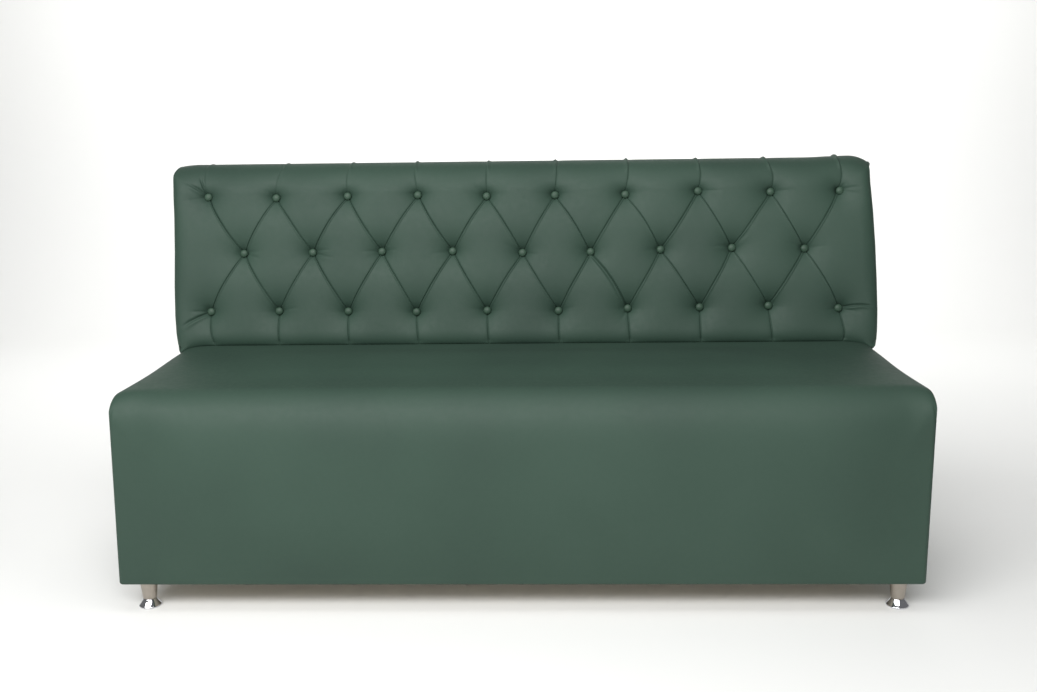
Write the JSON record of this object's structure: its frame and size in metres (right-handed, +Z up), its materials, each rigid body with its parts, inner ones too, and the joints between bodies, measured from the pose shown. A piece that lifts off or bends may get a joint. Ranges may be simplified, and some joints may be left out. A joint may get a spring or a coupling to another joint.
{
  "type": "tufted sofa",
  "caption": "Armless upholstered bench sofa with a smooth waterfall seat block, a deep-buttoned leaning backrest and short flared levelling feet.",
  "frame": {"origin": "on the floor under the middle of the sofa's bounding box", "axes": "+X along the sofa's length to the viewer's right when facing its front, +Y from the front to the rear, +Z up"},
  "size_m": [1.625, 0.6424, 0.8768],
  "materials": {
    "green_leatherette": "dark green leatherette with a fine grain, satin sheen",
    "button_leatherette": "buttons covered in the same dark green leatherette",
    "birch_plywood": "raw plywood and timber inside the upholstery",
    "upholstery_foam": "open-cell upholstery foam, matt",
    "satin_steel": "satin metal stem",
    "zinc_steel": "zinc-plated threaded stud",
    "polished_chrome": "polished flared foot base"
  },
  "bodies": {
    "sofa": {"back_foam": "upholstery_foam", "back_lower_rail": "birch_plywood", "back_panel": "birch_plywood", "back_rear_cover": "green_leatherette", "back_side_left": "green_leatherette", "back_side_right": "green_leatherette", "back_top_rail": "birch_plywood", "back_upright_left": "birch_plywood", "back_upright_right": "birch_plywood", "base_bottom_board": "birch_plywood", "base_centre_rib": "birch_plywood", "base_front_board": "birch_plywood", "base_left_board": "birch_plywood", "base_rear_board": "birch_plywood", "base_right_board": "birch_plywood", "button_bottom_01": "button_leatherette", "button_bottom_02": "button_leatherette", "button_bottom_03": "button_leatherette", "button_bottom_04": "button_leatherette", "button_bottom_05": "button_leatherette", "button_bottom_06": "button_leatherette", "button_bottom_07": "button_leatherette", "button_bottom_08": "button_leatherette", "button_bottom_09": "button_leatherette", "button_bottom_10": "button_leatherette", "button_mid_01": "button_leatherette", "button_mid_02": "button_leatherette", "button_mid_03": "button_leatherette", "button_mid_04": "button_leatherette", "button_mid_05": "button_leatherette", "button_mid_06": "button_leatherette", "button_mid_07": "button_leatherette", "button_mid_08": "button_leatherette", "button_mid_09": "button_leatherette", "button_top_01": "button_leatherette", "button_top_02": "button_leatherette", "button_top_03": "button_leatherette", "button_top_04": "button_leatherette", "button_top_05": "button_leatherette", "button_top_06": "button_leatherette", "button_top_07": "button_leatherette", "button_top_08": "button_leatherette", "button_top_09": "button_leatherette", "button_top_10": "button_leatherette", "foot_sleeve_front_left": "satin_steel", "foot_sleeve_front_right": "satin_steel", "foot_sleeve_rear_left": "satin_steel", "foot_sleeve_rear_right": "satin_steel", "seat_cover": "green_leatherette", "seat_deck": "birch_plywood", "seat_foam": "upholstery_foam", "tufted_pad": "green_leatherette"},
    "stud_front_left": {"foot_stud_front_left": "zinc_steel"},
    "base_front_left": {"foot_base_front_left": "polished_chrome"},
    "stud_front_right": {"foot_stud_front_right": "zinc_steel"},
    "base_front_right": {"foot_base_front_right": "polished_chrome"},
    "stud_rear_left": {"foot_stud_rear_left": "zinc_steel"},
    "base_rear_left": {"foot_base_rear_left": "polished_chrome"},
    "stud_rear_right": {"foot_stud_rear_right": "zinc_steel"},
    "base_rear_right": {"foot_base_rear_right": "polished_chrome"}
  },
  "joints": [
    {"name": "level_front_left", "type": "slide", "parent": "sofa", "child": "stud_front_left", "axis": [0, 0, -1], "range_m": [0, 0.01]},
    {"name": "turn_front_left", "type": "hinge", "parent": "stud_front_left", "child": "base_front_left", "pos_m": [-0.759, -0.27625, 0], "axis": [0, 0, -1], "range_deg": [0, 2880]},
    {"name": "level_front_right", "type": "slide", "parent": "sofa", "child": "stud_front_right", "axis": [0, 0, -1], "range_m": [0, 0.01]},
    {"name": "turn_front_right", "type": "hinge", "parent": "stud_front_right", "child": "base_front_right", "pos_m": [0.759, -0.27625, 0], "axis": [0, 0, -1], "range_deg": [0, 2880]},
    {"name": "level_rear_left", "type": "slide", "parent": "sofa", "child": "stud_rear_left", "axis": [0, 0, -1], "range_m": [0, 0.01]},
    {"name": "turn_rear_left", "type": "hinge", "parent": "stud_rear_left", "child": "base_rear_left", "pos_m": [-0.759, 0.21305, 0], "axis": [0, 0, -1], "range_deg": [0, 2880]},
    {"name": "level_rear_right", "type": "slide", "parent": "sofa", "child": "stud_rear_right", "axis": [0, 0, -1], "range_m": [0, 0.01]},
    {"name": "turn_rear_right", "type": "hinge", "parent": "stud_rear_right", "child": "base_rear_right", "pos_m": [0.759, 0.21305, 0], "axis": [0, 0, -1], "range_deg": [0, 2880]}
  ],
  "couplings": [
    {"joint": "level_front_left", "follows": "turn_front_left", "m_per_rad": 0.00019894},
    {"joint": "level_front_right", "follows": "turn_front_right", "m_per_rad": 0.00019894},
    {"joint": "level_rear_left", "follows": "turn_rear_left", "m_per_rad": 0.00019894},
    {"joint": "level_rear_right", "follows": "turn_rear_right", "m_per_rad": 0.00019894}
  ]
}
